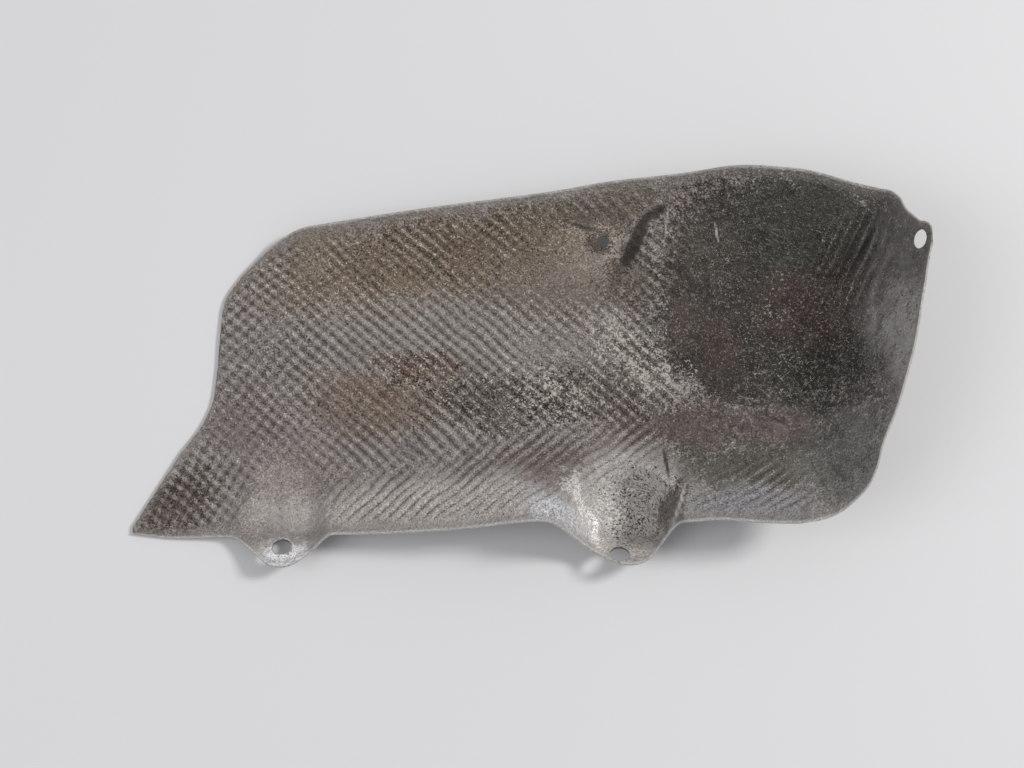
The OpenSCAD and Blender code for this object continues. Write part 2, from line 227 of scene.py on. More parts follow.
def top_rise(x, y):
    wall = ramp(0.3, 0.62, x / HALF_LENGTH)
    run = blend(TOP_LIP_WIDTH, TOP_WALL_WIDTH, wall) - (smooth_curve(TOP_LINE, x) - y)
    climb = fold(run, blend(LIP_BEND, 2 * LIP_BEND, wall), blend(TOP_LIP_SLOPE, TOP_WALL_SLOPE, wall))
    return climb * ramp(-0.86, -0.55, x / HALF_LENGTH)


def bottom_rise(x, y):
    width = blend(BOTTOM_LIP_LEFT, BOTTOM_LIP_RIGHT, ramp(-0.5, 0.2, x / HALF_LENGTH))
    run = width - (y - smooth_curve(BOTTOM_EDGE, x))
    return fold(run, LIP_BEND, BOTTOM_LIP_SLOPE) * ramp(-0.95, -0.45, x / HALF_LENGTH)


def end_rise(x, y):
    line = smooth_curve(RIGHT_LINE, y, across=(HALF_WIDTH, HALF_LENGTH))
    climb = fold(END_WALL_WIDTH - (line - x), END_WALL_BEND, END_WALL_SLOPE)
    return climb * blend(CORNER_WALL_SHARE, 1, ramp(-0.95, 0.1, y / HALF_WIDTH))


def formed_height(x, y):
    rise = np.sqrt(top_rise(x, y) ** 2 + bottom_rise(x, y) ** 2 + end_rise(x, y) ** 2)
    return SHEET + panel_height(x) - bowl_drop(x, y) + rise


print("deepest point of the bowl at", round(float(formed_height(*BOWL)), 1))

# %% Describe the seats of the bolts
def seat(flat, wall, away):
    return 1 - ramp(flat, flat + wall, away)


def left_seat(x, y):
    away = np.hypot(x - left_ear[0], np.maximum(0, y - left_ear_bend - LEFT_SEAT_LENGTH))
    return seat(LEFT_EAR_RADIUS, LEFT_SEAT_WALL, away)


def lug_seat(x, y):
    away = np.hypot(x - lug[0], np.maximum(0, y - lug_bend - LUG_SEAT_LENGTH))
    return seat(LUG_RADIUS, blend(*LUG_WALLS, ramp(-LUG_RADIUS, LUG_RADIUS, x - lug[0])), away)


def pad_seat(x, y):
    dx, dy = x - upper_pad[0], y - upper_pad[1]
    away = np.hypot(dx, dy)
    openness = ramp(-0.2, 1, (-cos(PAD_OPENS) * dx - sin(PAD_OPENS) * dy) / np.maximum(away, 0.5))
    return seat(PAD_RADIUS, blend(PAD_WALL, PAD_OPEN_LENGTH, openness), away)


def right_seat(x, y):
    dx, dy = (x - right_ear[0]) / RIGHT_EAR_WIDTH, (y - right_ear[1]) / RIGHT_EAR_RADIUS
    return 1 - ramp(1.1, 2.8, np.hypot(dx, dy))


def left_seat_height(y):
    return SHEET + PANEL_LOW + LEFT_SEAT_RISE + fold(left_ear_bend - y, TAB_BEND, np.tan(LEFT_EAR_TILT))


def lug_seat_height(y):
    turned_up = fold(lug_bend - y, TAB_BEND, np.tan(LUG_TILT))
    climb = fold(y - lug_bend, 2 * TAB_BEND, LUG_SEAT_SLOPE)
    return SHEET + PANEL_LOW + LUG_SEAT_RISE + turned_up + climb


right_ear_height = float(formed_height(*right_ear))


def smooth_height(x, y):
    z = blend(formed_height(x, y), SHEET + PAD_HEIGHT, pad_seat(x, y))
    z = blend(z, left_seat_height(y), left_seat(x, y))
    z = blend(z, lug_seat_height(y), lug_seat(x, y))
    ear_plane = right_ear_height + np.tan(RIGHT_EAR_TILT) * (x - right_ear[0])
    return blend(z, ear_plane, right_seat(x, y))


print("height of the right ear:", round(right_ear_height, 1))

# %% [markdown]
# ## Uneven metal
# A shield that has been on and off an engine is never quite even, and its rows of dimples aren't
# quite straight. One smooth field of random numbers with a fixed seed serves both: it bends the
# sheet by up to half a millimetre, and it shifts the rows, the same way on every run.

# %% Make the uneven field
FIELD_SIZE = 64
field = np.random.default_rng(11).random((FIELD_SIZE, FIELD_SIZE))


def waviness(x, y, size):
    u, v = x / size + 31.7, y / size + 17.3
    i, j = np.floor(u).astype(int), np.floor(v).astype(int)
    s, t = ramp(0, 1, u - i), ramp(0, 1, v - j)
    i0, j0, i1, j1 = (k % FIELD_SIZE for k in (i, j, i + 1, j + 1))
    lower, upper = blend(field[i0, j0], field[i1, j0], s), blend(field[i0, j1], field[i1, j1], s)
    return blend(lower, upper, t) - 0.5


print("the field runs from", round(float(field.min()) - 0.5, 2), "to", round(float(field.max()) - 0.5, 2))

# %% [markdown]
# ## Dimples
# Rollers leave two sets of rows that cross, with a dimple where they meet. A bump texture could
# fake them, but they are over 4 mm apart and rise and fall by half a millimetre, so they catch
# the light and break up the outline of every shadow: they belong in the mesh. Each set is a wave.
# The rows that fall to the right stay straight. The rows that climb curve with the pressed form,
# so their wave counts its turns with a small polynomial instead of along a straight line. On the
# flat panel the falling rows are the deeper ones. On the lower lip, below the bowl and in its
# upper corner the press has stretched them flat and drawn the climbing rows into ridges.

# %% Describe the two sets of rows
FALLING_ROWS, FALLING_GAP = np.array([0.667, 0.745]), 4.35
CLIMBING_TURNS = {  # share of each product of powers of x and y, both in units of 100 mm
    (1, 0): 14.51, (0, 1): -17.0, (2, 0): 0.44, (1, 1): -0.1, (0, 2): -0.05,
    (3, 0): 0.34, (2, 1): 2.3, (1, 2): 3.69, (0, 3): -4.15,
}
BESIDE_LUG, BESIDE_LUG_SIZE = np.array([88.0, -55.0]), 25.0


def falling_rows(x, y):
    return np.cos(2 * np.pi * (x * FALLING_ROWS[0] + y * FALLING_ROWS[1]) / FALLING_GAP)


def climbing_rows(x, y):
    turns = sum(share * (x / 100) ** i * (y / 100) ** j for (i, j), share in CLIMBING_TURNS.items())
    dx, dy = x - BESIDE_LUG[0], y - BESIDE_LUG[1]
    turns = turns - np.exp(-(dx**2 + dy**2) / BESIDE_LUG_SIZE**2) * (0.05 * dx + 0.016 * dy)
    return np.cos(2 * np.pi * turns)


rows_at_lug = [round(float(rows(*lug)), 2) for rows in (falling_rows, climbing_rows)]
print("at the lug the rows are at", rows_at_lug)

# %% Describe where the rows are deep
PLAIN_MARGIN = 4.0
FALLING_DEPTH, FALLING_ON_LIP = 0.36, 0.05
CLIMBING_AT_TIP, CLIMBING_ON_PANEL, CLIMBING_IN_BOWL = 0.24, 0.11, 0.08
RIDGES_ON_LIP, RIDGES_IN_CORNER = 0.46, 0.42
LIP_BAND, BAND_GROWS, BAND_SHRINKS, BAND_FADE = 33, 19, 18, 12  # ridges along the lower lip
WORN_PLACE, WORN_SIZE, WORN_LOSS = (8, 46), (30, 16), 0.55


def near_lip(x, y):
    along = x / HALF_LENGTH
    width = LIP_BAND + BAND_GROWS * ramp(-0.5, 0.2, along) - BAND_SHRINKS * ramp(0.28, 0.5, along)
    near = 1 - ramp(width - BAND_FADE, width, y - smooth_curve(BOTTOM_EDGE, x))
    return near * (1 - ramp(0.6, 0.85, along)) * ramp(-150, -118, x)


def in_bowl(x, y):
    return 1 - ramp(0.75, 1.05, np.hypot((x - 115) / 56, (y - 24) / 58))


def pulled_corner(x, y):
    return ramp(118, 140, x) * ramp(14, 34, y)


def dimples(x, y):
    x, y = x + 1.8 * waviness(x, y, 11), y + 1.8 * waviness(x + 200, y, 11)
    lip, bowl = near_lip(x, y), in_bowl(x, y)
    across, up = (x - WORN_PLACE[0]) / WORN_SIZE[0], (y - WORN_PLACE[1]) / WORN_SIZE[1]
    worn = WORN_LOSS * np.exp(-(across**2) - up**2)
    below_bowl = ramp(48, 66, x) * ramp(-12, -24, y)
    falling = blend(FALLING_DEPTH, FALLING_ON_LIP, lip) * blend(1, 0.3, bowl) * (1 - worn)
    falling = falling * (1 - 0.85 * below_bowl) * (1 - 0.9 * pulled_corner(x, y))
    panel = blend(CLIMBING_AT_TIP, CLIMBING_ON_PANEL, ramp(-130, -60, x))
    climbing = blend(blend(panel, RIDGES_ON_LIP, lip), CLIMBING_IN_BOWL, bowl)
    climbing = np.maximum(climbing, RIDGES_IN_CORNER * pulled_corner(x, y))
    deeper = 1 + 0.8 * waviness(x + 90, y, 15)
    return deeper * (falling * falling_rows(x, y) + climbing * climbing_rows(x, y))


def dimple_strength(x, y):
    inside = np.minimum(y - bottom_edge(x), top_edge(x) - y)
    pulled = pulled_corner(x, y)
    walls = 1 - ramp(8 * pulled, 14 + 24 * pulled, end_rise(x, y))
    walls = walls * (1 - ramp(2 + 6 * pulled, 14 + 20 * pulled, top_rise(x, y)))
    plain = (1 - pad_seat(x, y)) * (1 - left_seat(x, y)) ** 0.5 * (1 - lug_seat(x, y + 8))
    return plain * walls * ramp(PLAIN_MARGIN / 2, 2 * PLAIN_MARGIN, inside)


sample = np.meshgrid(np.arange(0, 40, 0.3), np.arange(0, 40, 0.3))
print("from the lowest dimple to the highest bump:", round(float(np.ptp(dimples(*sample))), 2))

# %% [markdown]
# ## Handling marks
# Creases are short valleys along a line, and a fold that stands up has a depth below nothing.
# They are dark with dirt and painted shade, and scratches and the painted highlights along two fold
# crests are bright, so one number for each point keeps how much of each lies there, for the finish to use
# later.

# %% Add creases and scratches
CREASES = [  # from x, y to x, y, half width, depth
    (67, 77, 55, 69, 2.0, 1.0), (57, 71, 46, 46, 3.0, 1.2), (17, 70.5, 39, 65, 1.3, 0.6),
    (62.5, -34, 64.5, -54, 0.9, 0.8), (71, -55, 65, -74, 0.9, -0.5),
    (162, 66, 148, 42, 1.3, 0.7), (156, 67, 143, 44, 1.3, 0.5), (167, 61, 153, 38, 1.2, 0.4),
    (128, -46, 134, -61, 1.4, 0.35), (134, -44, 142, -58, 1.4, 0.35), (140, -41, 149, -53, 1.4, 0.35),
    (145, -36, 155, -47, 1.3, 0.3), (88, -13, 104, -18, 0.8, 0.5), (103, -18, 121, -28, 0.8, 0.55),
    (96, -18, 112, -26, 0.7, 0.5), (129, -17, 138, -25, 0.8, 0.4), (-88, -66, -80, -52, 1.6, 0.4),
]
# One scratch, and painted highlights along the crests of the ridge beside the pad and of the raised fold
# beside the lug.
SCRATCHES_AND_HIGHLIGHTS = [  # from x, y to x, y, half width, strength
    (88.5, 68, 90.5, 60, 0.55, 1.0), (68, 82, 65, 57, 0.6, 0.7), (71, -55, 65, -74, 0.7, 1.0),
]


def along_lines(x, y, lines, fade):
    total = np.zeros_like(x)
    for x0, y0, x1, y1, half_width, strength in lines:
        along = ((x - x0) * (x1 - x0) + (y - y0) * (y1 - y0)) / ((x1 - x0) ** 2 + (y1 - y0) ** 2)
        t = np.clip(along, 0, 1)
        away = np.hypot(x - blend(x0, x1, t), y - blend(y0, y1, t))
        taper = np.sin(np.pi * np.clip(along, 0.03, 0.97)) ** fade
        total += strength * np.exp(-((away / half_width) ** 2)) * taper
    return total


def inner_height(x, y):
    handled = 0.9 * waviness(x, y, 23) + 0.35 * waviness(x, y, 7.5)
    inside = ramp(1, 12, np.minimum(y - bottom_edge(x), top_edge(x) - y))
    seats = np.maximum(left_seat(x, y), lug_seat(x, y))
    seats = np.maximum(np.maximum(seats, pad_seat(x, y)), right_seat(x, y))
    form = smooth_height(x, y) + dimples(x, y) * dimple_strength(x, y)
    return form + inside * (1 - seats) * handled - along_lines(x, y, CREASES, 0.7)


print("creases:", len(CREASES), "scratches:", len(SCRATCHES_AND_HIGHLIGHTS))

# %% [markdown]
# ## Mesh of the sheet
# The mesh is laid out as columns of points across the sheet, each from edge to edge, so the cut
# edge is exactly where the outline says. Neighbouring columns have different numbers of points
# and are zipped together with triangles. A second copy of the points, one sheet thickness away
# along the surface, makes the underside, and a narrow band joins the two along the cut edge.

# %% Lay out the points
GAP = 1.02  # between points, so that four of them share each row of dimples


def column_places():
    last_plain = right_ear[0] - RIGHT_EAR_WIDTH
    plain = np.arange(-HALF_LENGTH + GAP, last_plain, GAP)
    ear = right_ear[0] + RIGHT_EAR_WIDTH * np.sin(np.radians(np.linspace(-80, RIGHT_EAR_ENDS, 17)))
    return np.concatenate([[-HALF_LENGTH], plain, ear[ear > plain[-1] + 0.1]])


places = column_places()
columns = []
for x in places:
    low, high = float(bottom_edge(x)), float(top_edge(x))
    inside = np.arange(np.ceil((low + GAP / 2) / GAP), np.floor((high - GAP / 2) / GAP) + 1) * GAP
    columns.append(np.concatenate([[low], inside, [high]]))
starts = np.concatenate([[0], np.cumsum([len(c) for c in columns])])
xs = np.repeat(places, [len(c) for c in columns])
ys = np.concatenate(columns)
print("columns:", len(columns), "points on one side:", len(xs))

# %% Raise the points and offset the underside
step = 0.5
inner = np.stack([xs, ys, inner_height(xs, ys)], axis=1)
slope_x = (smooth_height(xs + step, ys) - smooth_height(xs - step, ys)) / (2 * step)
slope_y = (smooth_height(xs, ys + step) - smooth_height(xs, ys - step)) / (2 * step)
outward = np.stack([-slope_x, -slope_y, np.ones_like(xs)], axis=1)
outward /= np.linalg.norm(outward, axis=1)[:, None]
outer = inner - SHEET * outward
outer[:, 2] = np.maximum(outer[:, 2], 0.0)
print("height of the sheet:", round(float(inner[:, 2].max()), 1))

# %% Zip the columns into triangles
def zip_columns(i):
    """Triangles between two columns, where each step on one side meets the nearest point opposite."""
    a = (columns[i][:-1] + columns[i][1:]) / 2
    b = (columns[i + 1][:-1] + columns[i + 1][1:]) / 2
    s, n = starts[i], starts[i + 1]
    ka, kb = np.arange(len(a)), np.arange(len(b))
    from_a = np.stack([s + ka, n + np.searchsorted(b, a, side="left"), s + ka + 1], axis=1)
    from_b = np.stack([s + np.searchsorted(a, b, side="right"), n + kb, n + kb + 1], axis=1)
    return np.concatenate([from_a, from_b])


top_faces = np.concatenate([zip_columns(i) for i in range(len(columns) - 1)])
count = len(xs)
bottoms, tops = starts[:-1], starts[1:] - 1
first = np.arange(starts[0], starts[1])
last = np.arange(starts[-2], starts[-1])
around = np.concatenate([bottoms, last[1:], tops[-2::-1], first[-2::-1]])
here, there = around[:-1], around[1:]
rim_faces = np.concatenate([
    np.stack([here, here + count, there], axis=1), np.stack([there, here + count, there + count], axis=1)])
faces = np.concatenate([top_faces, top_faces[:, ::-1] + count, rim_faces])
print("triangles:", len(faces))

# %% Make the sheet object
sheet_mesh = bpy.data.meshes.new("pressed_sheet")
sheet_mesh.from_pydata(np.concatenate([inner, outer]) / 1000, [], faces)
sheet = bpy.data.objects.new("pressed_sheet", sheet_mesh)
bpy.context.scene.collection.objects.link(sheet)
print("mesh is clean:", not sheet_mesh.validate())

# %% Note on each point its side and its dimple, for the finish
RIM_WIDTH = 6.0
relief = 0.5 + dimples(xs, ys) * dimple_strength(xs, ys)
# Crease darkening, dirt and painted shade, is kept below zero and bright lines above zero.
dark_creases = 1.4 * np.maximum(along_lines(xs, ys, CREASES, 0.7), 0)
handled = along_lines(xs, ys, SCRATCHES_AND_HIGHLIGHTS, 0.3) - dark_creases
near_rim = 1 - np.clip(np.minimum(ys - bottom_edge(xs), top_edge(xs) - ys) / RIM_WIDTH, 0, 1)
on_seat = np.maximum(np.maximum(left_seat(xs, ys), lug_seat(xs, ys)), pad_seat(xs, ys))
none = np.zeros(count)
NOTES = {  # what each point of the upper side keeps, and each point of the underside
    "open_side": (none + 1, none), "dimple": (relief, relief), "marks": (handled, none),
    "rim": (near_rim, near_rim), "seat": (on_seat, on_seat),
}
for name, (top, under) in NOTES.items():
    note = sheet_mesh.attributes.new(name, "FLOAT", "POINT")
    note.data.foreach_set("value", np.concatenate([top, under]).astype(np.float32))
    print(name, "from", round(float(np.min(top)), 2), "to", round(float(np.max(top)), 2))

# %% [markdown]
# ## Bolt holes
# The real holes are punched square to the sheet. Moving mesh points onto a circle works too, but
# a Boolean with a round cutter gives a true circle and a clean wall at any tilt. The four cutters
# are removed afterwards.

# %% Punch the holes
HOLES = [
    (left_ear, float(left_seat_height(left_ear[1])), (-LEFT_EAR_TILT, 0, 0), BOLT_HOLE),
    (lug_hole, float(lug_seat_height(lug_hole[1])), (-LUG_TILT, 0, 0), BOLT_HOLE),
    (upper_pad, SHEET + PAD_HEIGHT, (0, 0, 0), PAD_HOLE),
    (right_ear, right_ear_height, (0, -RIGHT_EAR_TILT, 0), BOLT_HOLE),
]


CUTTER_SIDES, CUTTER_HEIGHT = 64, 8.0


def punch(place, height, turn, diameter):
    bpy.ops.mesh.primitive_cylinder_add(
        vertices=CUTTER_SIDES, radius=diameter / 2000, depth=CUTTER_HEIGHT / 1000,
        location=(place[0] / 1000, place[1] / 1000, height / 1000), rotation=turn)
    cutter = bpy.context.object
    cut = sheet.modifiers.new("punch", "BOOLEAN")
    cut.operation, cut.solver, cut.object = "DIFFERENCE", "MANIFOLD", cutter
    bpy.context.view_layer.objects.active = sheet
    bpy.ops.object.modifier_apply(modifier=cut.name)
    bpy.data.objects.remove(cutter)


for hole in HOLES:
    before = len(sheet.data.vertices)
    punch(*hole)
    print("hole of", hole[3], "mm added", len(sheet.data.vertices) - before, "points")

# %% Keep the cut edges sharp and the rest smooth
SHARP_FROM = radians(50)
bm = bmesh.new()
bm.from_mesh(sheet.data)
for face in bm.faces:
    face.smooth = True
for edge in bm.edges:
    edge.smooth = edge.calc_face_angle(0) < SHARP_FROM
bmesh.ops.triangulate(bm, faces=[f for f in bm.faces if len(f.verts) > 3])
bm.to_mesh(sheet.data)
print("triangles after the holes:", len(bm.faces), "open edges:", sum(not e.is_manifold for e in bm.edges))
bm.free()

# %% Find the faces of the cut edge
points = np.empty(len(sheet.data.vertices) * 3)
sheet.data.vertices.foreach_get("co", points)
sides = np.empty(len(sheet.data.vertices), dtype=np.float32)
sheet.data.attributes["open_side"].data.foreach_get("value", sides)
corners = np.empty(len(sheet.data.polygons) * 3, dtype=np.int32)
sheet.data.polygons.foreach_get("vertices", corners)
corner_sides = sides[corners].reshape(-1, 3)
edge_faces = (corner_sides.max(axis=1) - corner_sides.min(axis=1)) > 0.5
print("faces that join both sides:", int(edge_faces.sum()))

# %% Put the sheet in the place of the CAD node
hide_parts("heat_shield")
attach(sheet, "root")
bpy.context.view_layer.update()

# %% [markdown]
# ## Finishes written as sums
# A finish can be wired up by hand in the shader editor, or in code with one line for each node
# and link. Written as sums it is shorter and can be read: `dirt * 0.4 + grain` adds its own Math
# nodes. A number goes through those nodes, and a colour or a vector goes through Mix and Vector
# Math, because a Math node would turn it grey.

# %% Make the shader helpers
class Value:
    """One output of a node. A sum written on it adds Math nodes."""

    def __init__(self, finish, socket):
        self.finish, self.socket = finish, socket

    def sum(self, operation, a, b):
        return self.finish.node("ShaderNodeMath", {"operation": operation}, {0: a, 1: b})

    def __add__(self, other):
        return self.sum("ADD", self, other)

    def __radd__(self, other):
        return self.sum("ADD", other, self)

    def __sub__(self, other):
        return self.sum("SUBTRACT", self, other)

    def __rsub__(self, other):
        return self.sum("SUBTRACT", other, self)

    def __mul__(self, other):
        return self.sum("MULTIPLY", self, other)

    def __rmul__(self, other):
        return self.sum("MULTIPLY", other, self)


class Finish:
    """A material, with one method that adds any node to it."""

    def __init__(self, name):
        self.material = bpy.data.materials.new(name)
        self.material.use_nodes = True
        self.tree = self.material.node_tree
        self.tree.nodes.clear()

    def node(self, kind, settings=None, sockets=None, output=0):
        node = self.tree.nodes.new(kind)
        for name, value in (settings or {}).items():
            setattr(node, name, value)
        for name, value in (sockets or {}).items():
            if isinstance(value, Value):
                self.tree.links.new(value.socket, node.inputs[name])
            else:
                node.inputs[name].default_value = value
        return Value(self, node.outputs[output]) if output is not None else None

    def mix(self, share, a, b):
        return self.node("ShaderNodeMix", {"data_type": "RGBA"}, {0: share, 6: a, 7: b}, 2)

    def vector(self, operation, a, b=(0, 0, 0), c=(0, 0, 0)):
        return self.node("ShaderNodeVectorMath", {"operation": operation}, {0: a, 1: b, 2: c})

    def scaled(self, colour, factor):
        return self.node("ShaderNodeVectorMath", {"operation": "SCALE"}, {0: colour, "Scale": factor})

    def output(self, shader):
        self.node("ShaderNodeOutputMaterial", {}, {"Surface": shader}, None)

    def between(self, value, low, high, top=1.0):
        sockets = {"Value": value, "From Min": low, "From Max": high, "To Max": top}
        return self.node("ShaderNodeMapRange", {"interpolation_type": "SMOOTHSTEP"}, sockets)


def shade(red, green, blue):
    """A colour as a picture editor shows it, from 0 to 255, turned into Blender's linear numbers."""
    shares = [v / 255 for v in (red, green, blue)]
    linear = [v / 12.92 if v < 0.04 else ((v + 0.055) / 1.055) ** 2.4 for v in shares]
    return (*linear, 1.0)


print("mid grey is", round(shade(128, 128, 128)[0], 3))

# %% [markdown]
# ## Aged aluminium: where the stains lie
# On the real shield the bare metal is grey, and heat and road dirt have coloured it in broad
# patches: tan dust under the top lip, rust crumbs in the middle, and soot in the bowl. They could
# be painted, but a table of soft ovals does as well and stays easy to change. Each oval has a
# place, half its length and half its width in millimetres, a turn in degrees, a colour, and how
# much it covers. A noise that shifts the place before it is measured makes their edges ragged.
# An oval is a stretched circle, and a turned one also leans, so two Vector Math nodes place it. A
# Mapping node for each is easier to read, but some eighty of them can make this surface render
# black, most likely because Cycles runs out of room for the numbers that it holds at once.
# Some ovals paint light and shade rather than dirt: the lug and the right-hand wall are painted lighter,
# painted shade lies down the right-hand side of the lug and, with dirt, round the small hole in the pad,
# and the places of bare metal also hold painted highlights on the left ear and the lug.

# %% List the stains
STAINS = [  # x, y, half length, half width, turn, colour, cover
    (-135, 12, 42, 48, 0, (139, 131, 129), 0.65),
    (-128, -22, 20, 16, 0, (116, 104, 104), 0.6),
    (-45, 24, 75, 20, -8, (146, 139, 132), 0.7),
    (-40, 53, 88, 19, 7, (122, 104, 83), 0.85),
    (-20, 62, 36, 12, 8, (103, 87, 68), 0.6),
    (-98, 57, 22, 12, 35, (132, 118, 102), 0.7),
    (14, 42, 34, 20, -12, (120, 108, 97), 0.75),
    (36, 76, 40, 8, 8, (102, 93, 80), 0.8),
    (50, 42, 14, 16, 0, (98, 88, 76), 0.7),
    (81, 78, 15, 12, 0, (138, 124, 120), 0.85),
    (-56, -16, 38, 14, 0, (124, 105, 87), 0.65),
    (-80, -6, 24, 9, -10, (122, 102, 84), 0.5),
    (-46, 2, 22, 7.5, -14, (102, 76, 57), 0.75),
    (-12, -15, 26, 13, 0, (94, 88, 82), 0.85),
    (30, -12, 32, 12, -6, (92, 84, 74), 0.8),
    (20, -46, 38, 11, 0, (112, 99, 95), 0.8),
    (-41, -62, 70, 12, 2, (186, 180, 175), 0.85),
    (-101, -42, 26, 13, 0, (141, 132, 127), 0.85),
    (-158, -60, 20, 12, 40, (100, 88, 80), 0.85),
    (-62, -80, 90, 6, 2, (168, 161, 155), 0.7),
    (49, 6, 20, 17, -30, (108, 100, 92), 0.8),
    (60, -26, 26, 10, 0, (100, 88, 82), 0.85),
    (119, 26, 54, 60, 0, (47, 46, 39), 0.98),
    (128, 70, 44, 14, -8, (70, 69, 63), 0.9),
    (92, 34, 26, 40, 0, (53, 48, 43), 0.95),
    (88, 2, 24, 15, -28, (54, 47, 42), 0.95),
    (85, 58, 17, 17, 0, (66, 61, 55), 0.95),
    # Dirt and painted shade round the small hole in the pad.
    (37.5, 60, 5, 5, 0, (70, 58, 48), 0.8),
    (140, 60, 34, 26, -25, (68, 67, 61), 0.9),
    (132, 30, 24, 20, 0, (80, 60, 58), 0.75),
    (88, 14, 12, 14, 0, (70, 56, 52), 0.7),
    (72, 36, 7, 26, 0, (72, 60, 53), 0.7),
    (78, -4, 22, 5, -35, (50, 40, 36), 0.85),
    (113, -29, 22, 11, 0, (98, 84, 82), 0.85),
    (80, -29, 20, 14, 0, (96, 83, 79), 0.85),
    (100, -47, 40, 11, 0, (86, 85, 75), 0.85),
    (97, -64, 34, 8, 0, (140, 139, 142), 0.85),
    (145, -48, 22, 24, 0, (124, 122, 117), 0.8),
    # The right-hand wall is painted lighter: painted light on a wall that faces away from the lamp.
    (170, -10, 12, 54, 6, (164, 160, 156), 0.95),
    (170, 50, 13, 22, 0, (112, 108, 104), 0.8),
    # The lug is painted lighter: painted light on its faces.
    (44, -60, 22, 19, 0, (200, 196, 192), 0.95),
    (52, -66, 10, 12, 0, (178, 173, 168), 0.7),
    (45, -84, 20, 10, 0, (176, 171, 165), 0.9),
    # Painted shade down the right-hand side of the lug.
    (65, -64, 3.5, 12, -14, (88, 80, 72), 0.8),
]
BARE_METAL_AND_HIGHLIGHTS = [  # the same for bright places: bare metal and painted highlights, on the left ear and the lug
    (-108, -86, 15, 9, 0, (236, 235, 236), 0.95),
    (17, -70, 17, 9, -33, (212, 211, 214), 0.95),
    (27, -65, 16, 2.4, -60, (242, 239, 236), 0.95),
]
FLAKED_AND_GLINTING = [  # where bright flakes and painted glints crowd, with the strength in place of the cover
    (54, 6, 25, 12, -38, None, 1.12), (-8, -16, 34, 14, 0, None, 0.6), (33, -12, 32, 14, 0, None, 0.6),
    (-47, 2, 16, 9, 0, None, 0.6), (25, -60, 15, 5, -60, None, 0.7),
    (-40, 53, 80, 20, 7, None, 0.45), (10, 14, 30, 20, 0, None, 0.5),
    (119, 24, 50, 56, 0, None, 0.3), (135, 10, 30, 30, 0, None, 0.3), (-126, -68, 16, 9, 30, None, 0.6),
    (-110, 10, 50, 40, 0, None, 0.3),
]
PITTED = [  # where dark pits and crumbs crowd
    (54, -58, 14, 12, 0, None, 0.9), (45, -72, 9, 6, 0, None, 0.9), (-8, -16, 34, 15, 0, None, 0.8),
    (34, -12, 36, 14, 0, None, 0.9), (-47, 2, 20, 10, 0, None, 0.8), (-158, -60, 22, 14, 40, None, 1.0),
    (50, 40, 16, 20, 0, None, 0.7), (-112, 14, 22, 16, 0, None, 0.75),
    (-40, 56, 70, 16, 7, None, 0.75), (-58, -15, 34, 12, 0, None, 0.7),
    (119, 20, 48, 52, 0, None, 0.35),
]
CALM = [  # where the grain is weaker: the right-hand wall and two stretches of the lower lip
    (172, 4, 16, 66, 6, None, 1.0), (-48, -80, 60, 7, 3, None, 0.8), (110, -68, 40, 6, 0, None, 0.5),
]
SOOTY = [(119, 24, 52, 60, 0, None, 1.0), (84, 52, 18, 22, 0, None, 0.6)]  # the bowl
print("stains:", len(STAINS), "places of bare metal:", len(BARE_METAL_AND_HIGHLIGHTS))

# %% Find places on the sheet in the shader
BROAD_SHIFT, FINE_SHIFT = 10.0, 4.5  # how far the edges of the stains wander, in millimetres
OVAL_ENDS, OVAL_IS_FULL = 1.4, 0.6  # distances from its middle, as shares of its half size
aged = Finish("aged_aluminium")
metres = aged.node("ShaderNodeTexCoord", output=3)
place = aged.scaled(metres, 1000)
open_side = aged.node("ShaderNodeAttribute", {"attribute_name": "open_side"}, output=2)
dimple = aged.node("ShaderNodeAttribute", {"attribute_name": "dimple"}, output=2)
marks = aged.node("ShaderNodeAttribute", {"attribute_name": "marks"}, output=2)
rim = aged.node("ShaderNodeAttribute", {"attribute_name": "rim"}, output=2)
seat_share = aged.node("ShaderNodeAttribute", {"attribute_name": "seat"}, output=2)


def noise(scale, detail=2.0, roughness=0.5, shift=0.0, colour=False, curl=0.0):
    where = aged.vector("ADD", place, (shift, shift * 1.7, shift * 0.6))
    sockets = {"Vector": where, "Scale": scale, "Detail": detail, "Roughness": roughness}
    sockets["Distortion"] = curl
    return aged.node("ShaderNodeTexNoise", {}, sockets, 1 if colour else 0)


grain = aged.between(noise(1.15, 2, 0.6, 11), 0.3, 0.7)
mottle = aged.between(noise(0.34, 3, 0.65, 23), 0.3, 0.7)


def wander(colour_noise, reach):
    """A colour noise, from 0 to 1, turned into a shift of a place by up to a reach each way."""
    return aged.vector("MULTIPLY_ADD", colour_noise, (2 * reach, 2 * reach, 0), (-reach, -reach, 0))


broad_place = aged.vector("ADD", place, wander(noise(0.05, 3, 0.6, colour=True), BROAD_SHIFT))
fine_shift = wander(noise(0.3, 3, 0.6, 40, colour=True), FINE_SHIFT)
ragged_place = aged.vector("ADD", broad_place, fine_shift)
raggedness = (grain - 0.5) * 0.5 + (mottle - 0.5) * 0.5
ragged_y = aged.node("ShaderNodeSeparateXYZ", {}, {0: ragged_place}, 1)
only_y = aged.node("ShaderNodeCombineXYZ", {}, {0: ragged_y})


